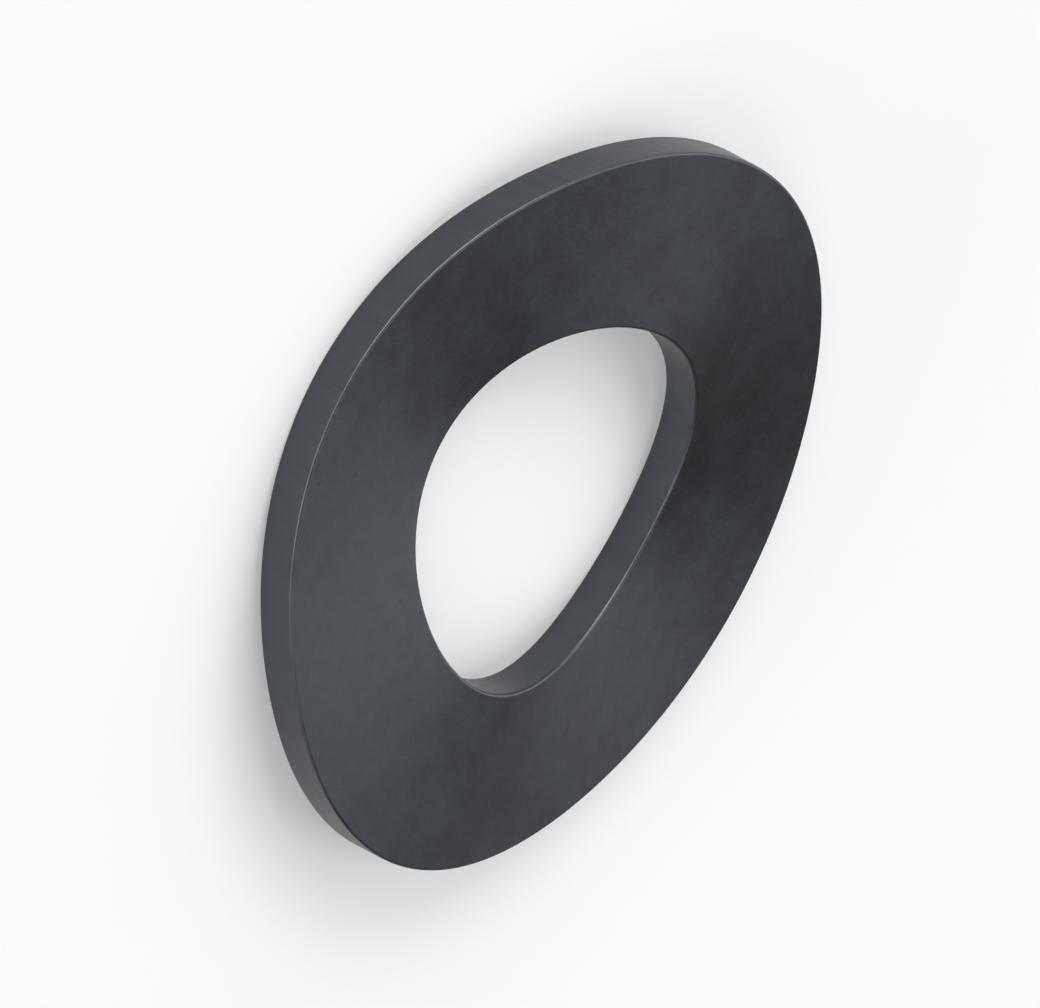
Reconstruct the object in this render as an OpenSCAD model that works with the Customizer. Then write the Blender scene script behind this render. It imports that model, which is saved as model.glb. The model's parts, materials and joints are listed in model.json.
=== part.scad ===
// Two-wave spring washer. A ring is stamped from sheet steel with a round bore and pressed
// into a wave, so it stands on two troughs and carries its load on two crests between them.
// Millimetres. The bore axis is +Z, the troughs rest on Z = 0 and one crest lies on +X.

/* [Ring] */
// Diameter across the outer edge, taken at the crests and troughs
outer_d = 21; // [18:0.1:28]
// Diameter of the bore
bore_d = 10.6; // [8:0.1:14]
// Thickness of the sheet, square to its face
sheet_t = 1.15; // [0.8:0.05:1.6]
// How far the outer edge draws in on the slopes, against its radius at the crests
slope_draw_in = 0.28; // [0:0.01:0.5]
// Radius that rounds the four edges of the ring's section
edge_r = 0.08; // [0.02:0.01:0.12]

/* [Wave] */
// Free height of the unloaded washer, from its resting plane to the top of the crests
free_h = 2.25; // [1.8:0.05:3.2]
// Number of waves around the ring
waves = 2; // [2:1:4]

/* [Smoothness] */
// Steps around the ring in each wave
wave_steps = 72; // [36:4:96]
// Steps in the rounding of each edge
edge_steps = 2; // [2:1:4]

/* [Hidden] */

bore_r = bore_d/2;
wave_amp = (free_h - sheet_t)/2;
// The blank runs past the bore by this much, and the bore is then cut through it
bore_stock = 0.1;
// The cutting cylinder stands this far above and below the washer
cut_over = 1;
ring_steps = waves*wave_steps;
edge_step_a = 90/edge_steps;

// Height of the sheet's middle above the mean plane, at angle a around the ring.
// It is the same all the way out along a radius, so every radius of the sheet is level.
function wave_z(a) = wave_amp*cos(waves*a);

// Rise of the sheet for each unit along a circle of radius r
function wave_slope(a, r) = waves*wave_amp*sin(waves*a)/r;

// Half of the sheet measured along Z, which keeps the thickness square to a sloping face
function half_sheet(a, r) = sheet_t/2*sqrt(1 + pow(wave_slope(a, r), 2));

// Radius of the outer edge: full at the crests and troughs, drawn in between them
function rim_r(a) = outer_d/2 - slope_draw_in*(1 - cos(2*waves*a))/2;

// Point of the rounding at angle f above the wall, for a wall at radius r whose metal lies
// towards side (1 is outward, -1 is inward), as radius and height above the sheet's middle
function edge_point(a, r, side, f) =
    let (ring = r + side*edge_r*(1 - cos(f)))
    [ring, half_sheet(a, ring) - edge_r*(1 - sin(f))];

// End of the blank inside the bore: the rounding's last facet, run on through the bore's wall
function stock_point(a) =
    [bore_r - bore_stock,
     half_sheet(a, bore_r) - edge_r - bore_stock/tan(edge_step_a/2)];

// Upper line of the ring's section at angle a, from inside the bore out to the rim's wall
function upper_line(a) = concat(
    [stock_point(a)],
    [for (k = [1:edge_steps]) edge_point(a, bore_r, 1, k*edge_step_a)],
    [for (k = [edge_steps:-1:0]) edge_point(a, rim_r(a), -1, k*edge_step_a)]
);

// Whole section: the upper line, and its mirror image back to the bore
function section(a) =
    let (upper = upper_line(a), last = len(upper) - 1)
    concat(upper, [for (k = [last:-1:0]) [upper[k][0], -upper[k][1]]]);

// Section turned to angle a around the ring and lifted onto the wave
function section_in_place(a) =
    [for (p = section(a)) [p[0]*cos(a), p[0]*sin(a), free_h/2 + wave_z(a) + p[1]]];

// Closed sweep of the section once around the ring, two triangles for each quad
module waved_blank() {
    rings = [for (i = [0:ring_steps - 1]) section_in_place(360*i/ring_steps)];
    count = len(rings[0]);
    points = [for (ring = rings) each ring];
    faces = [
        for (i = [0:ring_steps - 1], k = [0:count - 1])
        let (
            here = i*count,
            next = ((i + 1)%ring_steps)*count,
            up = (k + 1)%count,
            quad = [here + k, next + k, next + up, here + up]
        )
        each [[quad[0], quad[1], quad[2]], [quad[0], quad[2], quad[3]]]
    ];
    polyhedron(points = points, faces = faces);
}

module washer() {
    color([0.28, 0.29, 0.30])
    difference() {
        waved_blank();
        translate([0, 0, -cut_over])
        cylinder(r = bore_r, h = free_h + 2*cut_over, $fn = ring_steps);
    }
}

washer();
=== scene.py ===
"""A two-wave spring washer in dark satin steel, lying on a white table."""

import json
import math

import bpy
from mathutils import Matrix, Vector


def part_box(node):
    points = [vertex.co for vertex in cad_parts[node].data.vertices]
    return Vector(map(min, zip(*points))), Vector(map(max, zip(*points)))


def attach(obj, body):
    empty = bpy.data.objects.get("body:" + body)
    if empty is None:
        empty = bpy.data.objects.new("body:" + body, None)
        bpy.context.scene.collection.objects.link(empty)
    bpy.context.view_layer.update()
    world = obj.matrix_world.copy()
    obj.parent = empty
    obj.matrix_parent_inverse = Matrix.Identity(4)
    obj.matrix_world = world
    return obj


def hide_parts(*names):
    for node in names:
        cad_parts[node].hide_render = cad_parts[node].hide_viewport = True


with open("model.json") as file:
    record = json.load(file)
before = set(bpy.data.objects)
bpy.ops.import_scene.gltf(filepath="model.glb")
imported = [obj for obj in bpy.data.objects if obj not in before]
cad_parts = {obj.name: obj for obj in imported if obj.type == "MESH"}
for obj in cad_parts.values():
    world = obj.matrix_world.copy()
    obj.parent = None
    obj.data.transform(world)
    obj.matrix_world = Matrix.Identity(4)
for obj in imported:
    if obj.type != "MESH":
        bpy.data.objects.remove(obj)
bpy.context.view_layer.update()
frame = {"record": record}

# ---------------------------------------------------------------- sizes, in metres
MM = 0.001
node_low, node_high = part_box("washer")
BORE = next(m for m in frame["record"]["mounts"] if m["name"] == "bore")

CREST_R = node_high.x              # outer radius at the crests and troughs
FREE_H = node_high.z - node_low.z  # height from the troughs' underside to the crests
BORE_R = BORE["dims"]["r_mm"] * MM
SHEET_T = 1.15 * MM                # sheet thickness, square to its face
DRAW_IN = 0.28 * MM                # how far the outer edge draws in on the slopes
EDGE_R = 0.08 * MM                 # rounding of the section's four edges
WAVES = 2                          # round the ring, so two crests and two troughs
WAVE_AMP = (FREE_H - SHEET_T) / 2

# ---------------------------------------------------------------- mesh density
RING_STEPS = 360
FACE_STEPS = 14
WALL_STEPS = 6
EDGE_STEPS = 6

# ---------------------------------------------------------------- camera
PICTURE_SIZE = (1040, 1008)        # in pixels
BORE_CENTRE_PX = (540.7, 496.9)    # where the bore's middle falls in the picture
PIXEL = MM / 37.51                 # what a pixel covers at the washer, in metres
VIEW_AZIMUTH = math.radians(2.1)
VIEW_ELEVATION = math.radians(34.54)
VIEW_ROLL = math.radians(118.34)   # turns the washer in the frame as the photo shows it
CAMERA_DISTANCE = 0.3
CLIP_START, CLIP_END = 0.001, 10


# ---------------------------------------------------------------- the washer's form
def wave_z(a):
    """Height of the sheet's middle above the mean plane, at angle a round the ring."""
    return WAVE_AMP * math.cos(WAVES * a)


def wave_slope(a, r):
    """Rise of the sheet for each unit along a circle of radius r."""
    return WAVES * WAVE_AMP * math.sin(WAVES * a) / r


def half_sheet(a, r):
    """Half of the sheet along Z, which keeps its thickness square to a sloping face."""
    return SHEET_T / 2 * math.hypot(1, wave_slope(a, r))


def rim_r(a):
    """Radius of the outer edge: full at the crests and troughs, drawn in between."""
    return CREST_R - DRAW_IN * (1 - math.cos(2 * WAVES * a)) / 2


def edge_arc(a, r, side):
    """Upper rounding from the wall to the face, for a wall at radius r with its metal
    towards side. Each point is radius, height above the sheet's middle, and tilt of the
    surface from the wall, in radians."""
    points = []
    for k in range(EDGE_STEPS + 1):
        tilt = math.pi / 2 * k / EDGE_STEPS
        radius = r + side * EDGE_R * (1 - math.cos(tilt))
        height = half_sheet(a, radius) - EDGE_R * (1 - math.sin(tilt))
        points.append((radius, height, tilt))
    return points


def upper_line(a):
    """Upper half of the section at angle a, from the bore's wall out to the rim's wall:
    radius, height above the sheet's middle, outward share and upward share of the normal."""
    bore_edge = [(r, h, -math.cos(t), math.sin(t)) for r, h, t in edge_arc(a, BORE_R, 1)]
    rim_edge = [(r, h, math.cos(t), math.sin(t)) for r, h, t in edge_arc(a, rim_r(a), -1)]
    inner, outer = bore_edge[-1][0], rim_edge[-1][0]
    face = []
    for k in range(1, FACE_STEPS):
        r = inner + (outer - inner) * k / FACE_STEPS
        face.append((r, half_sheet(a, r), 0.0, 1.0))
    return bore_edge + face + rim_edge[::-1]


def wall(top, steps):
    """Points down a wall, between its upper edge point and that point's mirror image."""
    r, h, out, up = top
    return [(r, h * (1 - 2 * k / steps), out, 0.0) for k in range(1, steps)]


def section(a):
    """The whole section at angle a: over the top, down the rim, back below, up the bore."""
    upper = upper_line(a)
    lower = [(r, -h, out, -up) for r, h, out, up in reversed(upper)]
    rim_wall = wall(upper[-1], WALL_STEPS)
    bore_wall = wall(upper[0], WALL_STEPS)[::-1]
    return upper + rim_wall + lower + bore_wall


def surface_normal(a, r, out, up):
    """Normal of a section point: the sheet's slope tips the share that points up."""
    radial = Vector((math.cos(a), math.sin(a), 0))
    along = Vector((-math.sin(a), math.cos(a), 0))
    face = (Vector((0, 0, 1)) + along * wave_slope(a, r)).normalized()
    return (radial * out + face * up).normalized()


def ring_faces(count):
    """Quads between neighbouring sections of count points each, all the way round."""
    faces = []
    for i in range(RING_STEPS):
        here, after = i * count, (i + 1) % RING_STEPS * count
        for k in range(count):
            up = (k + 1) % count
            faces.append((here + k, here + up, after + up, after + k))
    return faces


def make_washer():
    """Closed sweep of the section round the bore, with exact normals. Two attributes tell
    the finish where it is: edge_share is 1 halfway round an edge's rounding and 0 off it,
    and wall_share is 1 on the walls and 0 on the faces."""
    verts, normals, edge_share, wall_share = [], [], [], []
    for i in range(RING_STEPS):
        a = 2 * math.pi * i / RING_STEPS
        for r, h, out, up in section(a):
            z = node_low.z + FREE_H / 2 + wave_z(a) + h
            verts.append((r * math.cos(a), r * math.sin(a), z))
            normals.append(surface_normal(a, r, out, up))
            edge_share.append(2 * abs(out * up))
            wall_share.append(out * out)
    mesh = bpy.data.meshes.new("washer_satin")
    mesh.from_pydata(verts, [], ring_faces(len(verts) // RING_STEPS))
    mesh.shade_smooth()
    mesh.normals_split_custom_set_from_vertices(normals)
    for name, values in (("edge_share", edge_share), ("wall_share", wall_share)):
        attribute = mesh.attributes.new(name, "FLOAT", "POINT")
        attribute.data.foreach_set("value", values)
    washer = bpy.data.objects.new("washer_satin", mesh)
    bpy.context.collection.objects.link(washer)
    return washer


# ---------------------------------------------------------------- materials
STEEL_DARK = (0.0550, 0.0590, 0.0662, 1)   # darker, warmer patches of the oiled finish
STEEL_LIGHT = (0.0710, 0.0792, 0.0905, 1)  # lighter, bluer patches
STEEL_WORN_AND_GLINT = (0.125, 0.137, 0.151, 1)      # bright metal: partly worn steel, partly a painted glint on the edges and a painted sheen on the walls
STEEL_FLECK = (0.0500, 0.0540, 0.0600, 1)  # small soft flecks where the oil has dried

# Noises of the finish: how many spans of each lie in a metre
FILM_PER_M = 190                           # broad drift of the oil film, about 5 mm across
PATCHES_PER_M = 800                        # soft patches, about 1.2 mm across
MOTTLE_PER_M = 2000                        # fine mottle of the oxide, about 0.5 mm across
STREAKS_PER_M = 5200                       # shear marks, about 0.2 mm apart round a wall
STREAK_SQUASH = 0.06                       # how little the marks change along the bore's axis
GRAIN_PER_M = 8000                         # satin grain, about 0.12 mm across
SOFT_DETAIL = 3                            # octaves of the film and the patches
FINE_DETAIL = 2                            # octaves of the mottle, the streaks and the grain
NOISE_LOW, NOISE_HIGH = 0.35, 0.65         # between these most of a noise's values lie

# Share that each noise has in the steel's tone, and the sums that come out dark and light
FILM_TONE = 0.5
PATCH_TONE = 0.5
MOTTLE_TONE = 0.4
STREAK_TONE = 0.2
TONE_DARK, TONE_LIGHT = 0.59, 1.01

FLECKS_PER_M = 1000                        # one fleck at most in each millimetre
FLECK_SIZE = 0.13                          # radius of a fleck, as a share of that
FLECK_THRESHOLD = 0.5                      # leaves about half of the places without one

EDGE_WEAR_AND_GLINT = (0.6, 1.0)                     # least and most of the bright metal on an edge, partly worn and partly a painted glint
WALL_WEAR_AND_SHEEN = (0.18, 0.22)                   # the same on the cut walls, partly a painted sheen that lightens them
WEAR_AND_GLINT_GLOSS = 0.05                          # roughness that the full share of bright metal takes away
ROUGH_LOW, ROUGH_HIGH = 0.38, 0.46
ROUGH_SUM_LOW, ROUGH_SUM_HIGH = 0.7, 1.3   # patches plus grain that give those two

# Relief that each of these noises gives the surface
FILM_HEIGHT = 0.002 * MM
STREAK_HEIGHT = 0.003 * MM
GRAIN_HEIGHT = 0.0025 * MM

FLOOR_COLOUR = (0.97, 0.97, 0.97, 1)
FLOOR_ROUGHNESS = 0.9
FLOOR_GLOW = 0.25                          # share of the table's white that glows by itself
WHITE = (1, 1, 1, 1)


class Nodes:
    """Short-hand for building one material's nodes."""

    def __init__(self, name):
        self.material = bpy.data.materials.new(name)
        self.material.use_nodes = True
        self.tree = self.material.node_tree
        self.shader = self.tree.nodes["Principled BSDF"]

    def add(self, kind, **inputs):
        """A node of that kind; each input is a value, or another node's output."""
        node = self.tree.nodes.new("ShaderNode" + kind)
        for name, value in inputs.items():
            self.set(node, name, value)
        return node

    def set(self, node, name, value):
        """Sets one input, given by its name or, as in _3, by its number."""
        socket = node.inputs[int(name[1:])] if name[1:].isdigit() else node.inputs[name]
        if isinstance(value, bpy.types.NodeSocket):
            self.tree.links.new(value, socket)
        else:
            socket.default_value = value

    def attribute(self, name):
        """Value that the mesh carries at each point under that name."""
        node = self.add("Attribute")
        node.attribute_name = name
        return node.outputs["Fac"]

    def noise(self, where, per_m, detail):
        """Soft noise round 0.5, with that many spans in a metre."""
        node = self.add("TexNoise", Vector=where, Scale=per_m, Detail=detail)
        return node.outputs["Fac"]

    def remap(self, value, low, high, new_low, new_high):
        """Value taken from one range to another, and kept inside it."""
        node = self.add("MapRange", _0=value, _1=low, _2=high, _3=new_low, _4=new_high)
        return node.outputs["Result"]

    def mix(self, share, first, second):
        """Colour between two colours, which are a mix node's inputs 6 and 7."""
        node = self.tree.nodes.new("ShaderNodeMix")
        node.data_type = "RGBA"
        self.set(node, "_0", share)
        self.set(node, "_6", first)
        self.set(node, "_7", second)
        return node.outputs[2]

    def math(self, operation, first, second):
        node = self.add("Math", _0=first, _1=second)
        node.operation = operation
        return node.outputs[0]

    def bump(self, height, distance, under=None):
        """Normal bent by a height that runs from 0 to distance, on top of another bump."""
        node = self.add("Bump", Height=height, Distance=distance)
        if under is not None:
            self.set(node, "Normal", under)
        return node.outputs["Normal"]


def shear_marks(n, where):
    """Noise drawn out along the bore's axis, as a punch leaves it down a wall."""
    drawn = n.add("VectorMath", _0=where, _1=(1, 1, STREAK_SQUASH))
    drawn.operation = "MULTIPLY"
    return n.noise(drawn.outputs[0], STREAKS_PER_M, FINE_DETAIL)


def flecks(n, where):
    """1 in the middle of a fleck, fading to 0 at its edge."""
    cells = n.add("TexVoronoi", Vector=where, Scale=FLECKS_PER_M)
    in_fleck = n.remap(cells.outputs["Distance"], FLECK_SIZE, 0, 0, 1)
    chosen = n.math("GREATER_THAN", cells.outputs["Color"], FLECK_THRESHOLD)
    return n.math("MULTIPLY", in_fleck, chosen)


def wear_and_glint_share(n, patches, streaks):
    """How much bright metal shows: a little on the walls, partly as a painted sheen, and more on
    the edges, partly worn and partly as a painted glint.
    """
    on_edge = n.remap(patches, NOISE_LOW, NOISE_HIGH, *EDGE_WEAR_AND_GLINT)
    on_wall = n.remap(streaks, NOISE_LOW, NOISE_HIGH, *WALL_WEAR_AND_SHEEN)
    # edges: worn metal plus a painted glint along the rounding
    rubbed_and_glint = n.math("MULTIPLY", n.attribute("edge_share"), on_edge)
    # walls: a burnished shear face, partly a painted sheen that lightens it
    sheared_and_sheen = n.math("MULTIPLY", n.attribute("wall_share"), on_wall)
    return n.math("MAXIMUM", rubbed_and_glint, sheared_and_sheen)


def steel_material():
    """Hardened and oiled spring steel: a dark satin with an uneven film of oil, a fine mottle
    and grain, a few soft flecks, shear marks down the walls, edges worn brighter with a painted
    glint, and walls lightened by a painted sheen."""
    n = Nodes("dark_satin_steel")
    where = n.add("TexCoord").outputs["Object"]
    film = n.noise(where, FILM_PER_M, SOFT_DETAIL)
    patches = n.noise(where, PATCHES_PER_M, SOFT_DETAIL)
    mottle = n.noise(where, MOTTLE_PER_M, FINE_DETAIL)
    grain = n.noise(where, GRAIN_PER_M, FINE_DETAIL)
    streaks = shear_marks(n, where)
    wear_and_glint = wear_and_glint_share(n, patches, streaks)

    tone = n.math("MULTIPLY", film, FILM_TONE)
    for noise, share in ((patches, PATCH_TONE), (mottle, MOTTLE_TONE), (streaks, STREAK_TONE)):
        tone = n.math("ADD", tone, n.math("MULTIPLY", noise, share))
    steel = n.mix(n.remap(tone, TONE_DARK, TONE_LIGHT, 0, 1), STEEL_DARK, STEEL_LIGHT)
    flecked = n.mix(flecks(n, where), steel, STEEL_FLECK)
    # bright metal on edges and walls: partly worn steel, partly a painted glint and sheen
    n.set(n.shader, "Base Color", n.mix(wear_and_glint, flecked, STEEL_WORN_AND_GLINT))
    n.set(n.shader, "Metallic", 1.0)

    uneven = n.math("ADD", patches, grain)
    rough = n.remap(uneven, ROUGH_SUM_LOW, ROUGH_SUM_HIGH, ROUGH_LOW, ROUGH_HIGH)
    n.set(n.shader, "Roughness", n.math("SUBTRACT", rough, n.math("MULTIPLY", wear_and_glint, WEAR_AND_GLINT_GLOSS)))

    waved = n.bump(film, FILM_HEIGHT)
    marked = n.bump(streaks, STREAK_HEIGHT, waved)
    n.set(n.shader, "Normal", n.bump(grain, GRAIN_HEIGHT, marked))
    return n.material


def floor_material():
    """White matt table top. Part of its white comes straight from the surface, for the camera
    and for reflections, so that the washer's shadow stays light."""
    n = Nodes("white_table")
    n.set(n.shader, "Base Color", FLOOR_COLOUR)
    n.set(n.shader, "Roughness", FLOOR_ROUGHNESS)
    n.set(n.shader, "Specular IOR Level", 0.0)
    ray = n.add("LightPath").outputs
    seen = n.math("MAXIMUM", ray["Is Camera Ray"], ray["Is Glossy Ray"])
    seen = n.math("MAXIMUM", seen, ray["Is Transmission Ray"])
    glow = n.add("Emission", Color=WHITE, Strength=1.0)
    mix = n.add("MixShader", Fac=n.math("MULTIPLY", seen, FLOOR_GLOW))
    n.tree.links.new(n.shader.outputs[0], mix.inputs[1])
    n.tree.links.new(glow.outputs[0], mix.inputs[2])
    n.tree.links.new(mix.outputs[0], n.tree.nodes["Material Output"].inputs["Surface"])
    return n.material


# ---------------------------------------------------------------- stage
TABLE_HALF = 2.0                   # half of the table's side
TABLE_LEVEL = 0.97                 # how white the table comes out, for what lies past its edge
SURROUNDINGS_LEVEL = 0.14          # grey of the studio above the horizon
HORIZON_BLEND = 0.01               # depth below the horizon at which the table's white is full
LAMP_DISTANCE = 5.0                # far off, so that the light is even all over the table


def make_table():
    """Table top under the washer, level with its lowest points."""
    half = TABLE_HALF
    corners = [(-half, -half, 0), (half, -half, 0), (half, half, 0), (-half, half, 0)]
    mesh = bpy.data.meshes.new("table_top")
    mesh.from_pydata(corners, [], [(0, 1, 2, 3)])
    table = bpy.data.objects.new("table_top", mesh)
    table.location.z = node_low.z
    bpy.context.collection.objects.link(table)
    mesh.materials.append(floor_material())


def camera_axes():
    """The camera's right, up and backward directions: seen from the azimuth and elevation,
    then rolled."""
    back = Vector((
        math.sin(VIEW_AZIMUTH) * math.cos(VIEW_ELEVATION),
        -math.cos(VIEW_AZIMUTH) * math.cos(VIEW_ELEVATION),
        math.sin(VIEW_ELEVATION),
    ))
    level = Vector((math.cos(VIEW_AZIMUTH), math.sin(VIEW_AZIMUTH), 0))
    rise = back.cross(level)
    right = level * math.cos(VIEW_ROLL) + rise * math.sin(VIEW_ROLL)
    return right, back.cross(right), back


def make_camera():
    """Camera without perspective, aimed so that the bore's middle falls on its pixel."""
    right, up, back = camera_axes()
    data = bpy.data.cameras.new("camera")
    data.type = "ORTHO"
    data.ortho_scale = PICTURE_SIZE[0] * PIXEL
    data.clip_start, data.clip_end = CLIP_START, CLIP_END
    bore_centre = Vector((0, 0, node_low.z + FREE_H / 2))
    aside = (PICTURE_SIZE[0] / 2 - BORE_CENTRE_PX[0]) * PIXEL
    above = (BORE_CENTRE_PX[1] - PICTURE_SIZE[1] / 2) * PIXEL
    picture_centre = bore_centre + right * aside + up * above
    camera = bpy.data.objects.new("camera", data)
    turn = Matrix((right, up, back)).transposed().to_4x4()
    camera.matrix_world = Matrix.Translation(picture_centre + back * CAMERA_DISTANCE) @ turn
    bpy.context.collection.objects.link(camera)
    bpy.context.scene.camera = camera


def make_world():
    """Even surroundings above the horizon, and the table's white below it."""
    world = bpy.data.worlds.new("studio")
    bpy.context.scene.world = world
    world.use_nodes = True
    nodes, links = world.node_tree.nodes, world.node_tree.links
    direction = nodes.new("ShaderNodeTexCoord").outputs["Generated"]
    split = nodes.new("ShaderNodeSeparateXYZ")
    links.new(direction, split.inputs[0])
    strength = nodes.new("ShaderNodeMapRange")
    links.new(split.outputs["Z"], strength.inputs["Value"])
    strength.inputs["From Min"].default_value = -HORIZON_BLEND
    strength.inputs["From Max"].default_value = 0.0
    strength.inputs["To Min"].default_value = TABLE_LEVEL
    strength.inputs["To Max"].default_value = SURROUNDINGS_LEVEL
    back = nodes["Background"]
    back.inputs["Color"].default_value = WHITE
    links.new(strength.outputs["Result"], back.inputs["Strength"])


def softbox(name, azimuth, elevation, width, height, radiance):
    """Area lamp that faces the washer from a bearing counted from +X, in degrees. Its width
    and height are shares of its distance, so its light stays the same at any distance."""
    a, e = math.radians(azimuth), math.radians(elevation)
    away = Vector((math.cos(a) * math.cos(e), math.sin(a) * math.cos(e), math.sin(e)))
    data = bpy.data.lights.new(name, "AREA")
    data.shape = "RECTANGLE"
    data.size, data.size_y = width * LAMP_DISTANCE, height * LAMP_DISTANCE
    data.energy = radiance * math.pi * data.size * data.size_y
    lamp = bpy.data.objects.new(name, data)
    lamp.location = away * LAMP_DISTANCE
    lamp.rotation_mode = "QUATERNION"
    lamp.rotation_quaternion = away.to_track_quat("Z", "Y")
    bpy.context.collection.objects.link(lamp)


def make_lamps():
    softbox("key", azimuth=127, elevation=48, width=1.0, height=1.5, radiance=1.4)
    softbox("front_left", azimuth=220, elevation=26, width=0.8, height=0.6, radiance=3.98)
    softbox("front", azimuth=258, elevation=22, width=0.7, height=0.45, radiance=3.59)
    softbox("low_right", azimuth=303, elevation=8, width=0.6, height=0.2, radiance=8.73)
    softbox("fill", azimuth=350, elevation=43, width=0.9, height=0.8, radiance=0.873)
    softbox("low_back", azimuth=172, elevation=20, width=0.6, height=0.4, radiance=0.776)


# ---------------------------------------------------------------- build
washer = make_washer()
washer.data.materials.append(steel_material())
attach(washer, "root")
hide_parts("washer")

make_table()
make_camera()
make_world()
make_lamps()

bpy.context.scene.view_settings.view_transform = "Standard"
